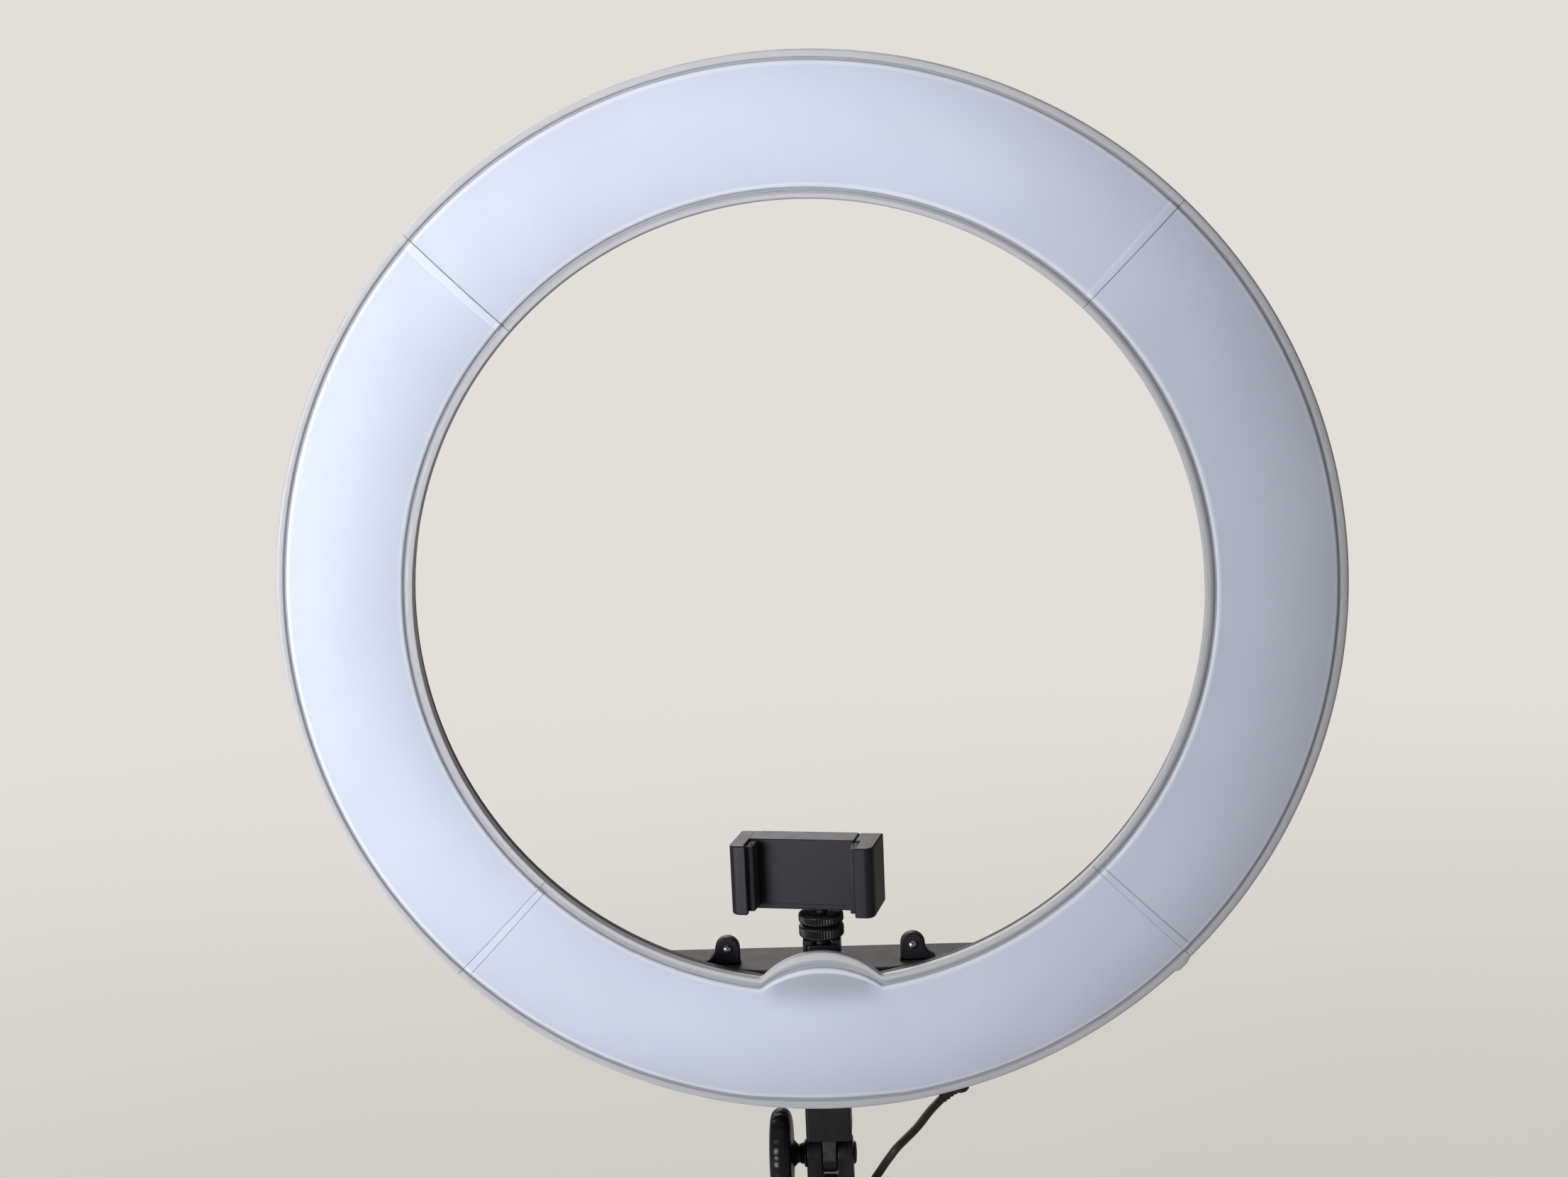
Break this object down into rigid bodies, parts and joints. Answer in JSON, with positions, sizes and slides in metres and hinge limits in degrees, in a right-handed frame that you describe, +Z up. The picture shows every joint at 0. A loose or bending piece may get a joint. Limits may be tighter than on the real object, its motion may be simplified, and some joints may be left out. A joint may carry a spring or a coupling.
{
  "type": "ring light",
  "caption": "LED ring light head with clip-on white filters, a rear control box, a sprung phone holder on a shoe, and a tilting stand adapter with hand knobs.",
  "frame": {"origin": "centre of the flat ceiling of the stand socket, where the top of the stand's spigot rests", "axes": "+Z up, -Y the side that shines, +X to the right for someone facing the light"},
  "size_m": [0.48, 0.0677, 0.6315],
  "materials": {
    "filter": "translucent white, satin",
    "opal": "opal white, smooth",
    "shell": "moulded dark grey, fine grain",
    "pad": "moulded light grey",
    "black_plastic": "moulded black, satin",
    "knob": "black, semi-gloss",
    "black_metal": "black coat, satin",
    "rubber": "matt black, ribbed",
    "cable": "dark brown-black jacket, matt",
    "steel": "plated, bright",
    "brass": "turned",
    "aluminium": "mill finish",
    "board_white": "white solder mask",
    "board_green": "green solder mask"
  },
  "bodies": {
    "stand_adapter": {"stand_adapter": "black_metal", "tilt_bolt": "black_metal", "cable_lower": "cable", "inline_socket": "rubber"},
    "head": {"rear_shell": "shell", "diffuser_panel": "opal", "heat_spreader": "aluminium", "led_board_top": "board_white", "led_board_right": "board_white", "led_board_bottom": "board_white", "led_board_left": "board_white", "control_box": "shell", "box_screw_1": "steel", "box_screw_2": "steel", "box_screw_3": "steel", "box_screw_4": "steel", "driver_board": "board_green", "potentiometer": "aluminium", "switch_housing": "black_plastic", "dc_jack": "black_plastic", "lug_left": "black_plastic", "lug_right": "black_plastic", "lug_pin_left": "steel", "lug_pin_right": "steel", "shoe_pad": "pad", "cold_shoe": "black_metal", "shoe_screw_front": "steel", "shoe_screw_rear": "steel", "tilt_bracket": "black_metal", "bracket_screw_left": "steel", "bracket_screw_right": "steel", "power_plug": "rubber", "cable_upper": "cable"},
    "filter_top": {"filter_top": "filter"},
    "filter_right": {"filter_right": "filter"},
    "filter_bottom": {"filter_bottom": "filter"},
    "filter_left": {"filter_left": "filter"},
    "dimmer": {"dimmer_shaft": "steel", "dimmer_knob": "knob"},
    "rocker": {"power_rocker": "black_plastic"},
    "shoe_adapter": {"shoe_foot": "black_metal"},
    "lower_nut": {"lower_nut": "black_metal"},
    "upper_nut": {"upper_nut": "black_metal"},
    "phone_holder": {"holder_housing": "black_plastic", "holder_cover": "black_plastic", "holder_insert": "brass", "jaw_pad_left": "rubber", "clamp_spring": "steel"},
    "sliding_jaw": {"sliding_jaw": "black_plastic", "jaw_pad_right": "rubber", "guide_rod_lower": "steel", "guide_rod_upper": "steel"},
    "tilt_washer": {"tilt_washer": "black_metal"},
    "tilt_knob": {"tilt_knob": "knob", "tilt_knob_insert": "brass"},
    "lock_screw": {"lock_screw": "steel"},
    "lock_knob": {"lock_knob": "knob"}
  },
  "joints": [
    {"name": "head_tilt", "type": "hinge", "parent": "stand_adapter", "child": "head", "pos_m": [0, 0, 0.031], "axis": [1, 0, 0], "range_deg": [-90, 90]},
    {"name": "filter_top_lift", "type": "slide", "parent": "head", "child": "filter_top", "axis": [0, -1, 0], "range_m": [0, 0.03]},
    {"name": "filter_right_lift", "type": "slide", "parent": "head", "child": "filter_right", "axis": [0, -1, 0], "range_m": [0, 0.03]},
    {"name": "filter_bottom_lift", "type": "slide", "parent": "head", "child": "filter_bottom", "axis": [0, -1, 0], "range_m": [0, 0.03]},
    {"name": "filter_left_lift", "type": "slide", "parent": "head", "child": "filter_left", "axis": [0, -1, 0], "range_m": [0, 0.03]},
    {"name": "dimmer_turn", "type": "hinge", "parent": "head", "child": "dimmer", "pos_m": [0.045, 0.031, 0.094], "axis": [0, -1, 0], "range_deg": [0, 300]},
    {"name": "power_switch", "type": "hinge", "parent": "head", "child": "rocker", "pos_m": [-0.045, 0.028, 0.094], "axis": [0, 0, 1], "range_deg": [0, 16]},
    {"name": "shoe_slide", "type": "slide", "parent": "head", "child": "shoe_adapter", "axis": [0, 1, 0], "range_m": [0, 0.018]},
    {"name": "lower_nut_turn", "type": "hinge", "parent": "shoe_adapter", "child": "lower_nut", "pos_m": [0, 0.003, 0.142], "axis": [0, 0, 1], "range_deg": [0, 360]},
    {"name": "upper_nut_turn", "type": "hinge", "parent": "shoe_adapter", "child": "upper_nut", "pos_m": [0, 0.003, 0.148], "axis": [0, 0, 1], "range_deg": [0, 360]},
    {"name": "phone_swivel", "type": "hinge", "parent": "shoe_adapter", "child": "phone_holder", "pos_m": [0, 0.003, 0.1528], "axis": [0, 0, 1], "continuous": true},
    {"name": "jaw_slide", "type": "slide", "parent": "phone_holder", "child": "sliding_jaw", "axis": [0.9848, -0.1736, 0], "range_m": [0, 0.025], "stiffness_N_per_m": 120, "springref_m": -0.02, "deforming": ["clamp_spring"]},
    {"name": "tilt_clamp_travel", "type": "slide", "parent": "stand_adapter", "child": "tilt_washer", "axis": [-1, 0, 0], "range_m": [0, 0.0015]},
    {"name": "tilt_knob_turn", "type": "hinge", "parent": "tilt_washer", "child": "tilt_knob", "pos_m": [0, 0, 0.031], "axis": [-1, 0, 0], "range_deg": [0, 541]},
    {"name": "lock_screw_travel", "type": "slide", "parent": "stand_adapter", "child": "lock_screw", "axis": [1, 0, 0], "range_m": [0, 0.0015]},
    {"name": "lock_knob_turn", "type": "hinge", "parent": "lock_screw", "child": "lock_knob", "pos_m": [0, 0, -0.007], "axis": [1, 0, 0], "range_deg": [0, 541]}
  ],
  "couplings": [
    {"joint": "tilt_knob_turn", "follows": "tilt_clamp_travel", "rad_per_m": 6283.2},
    {"joint": "lock_knob_turn", "follows": "lock_screw_travel", "rad_per_m": 6283.2}
  ]
}
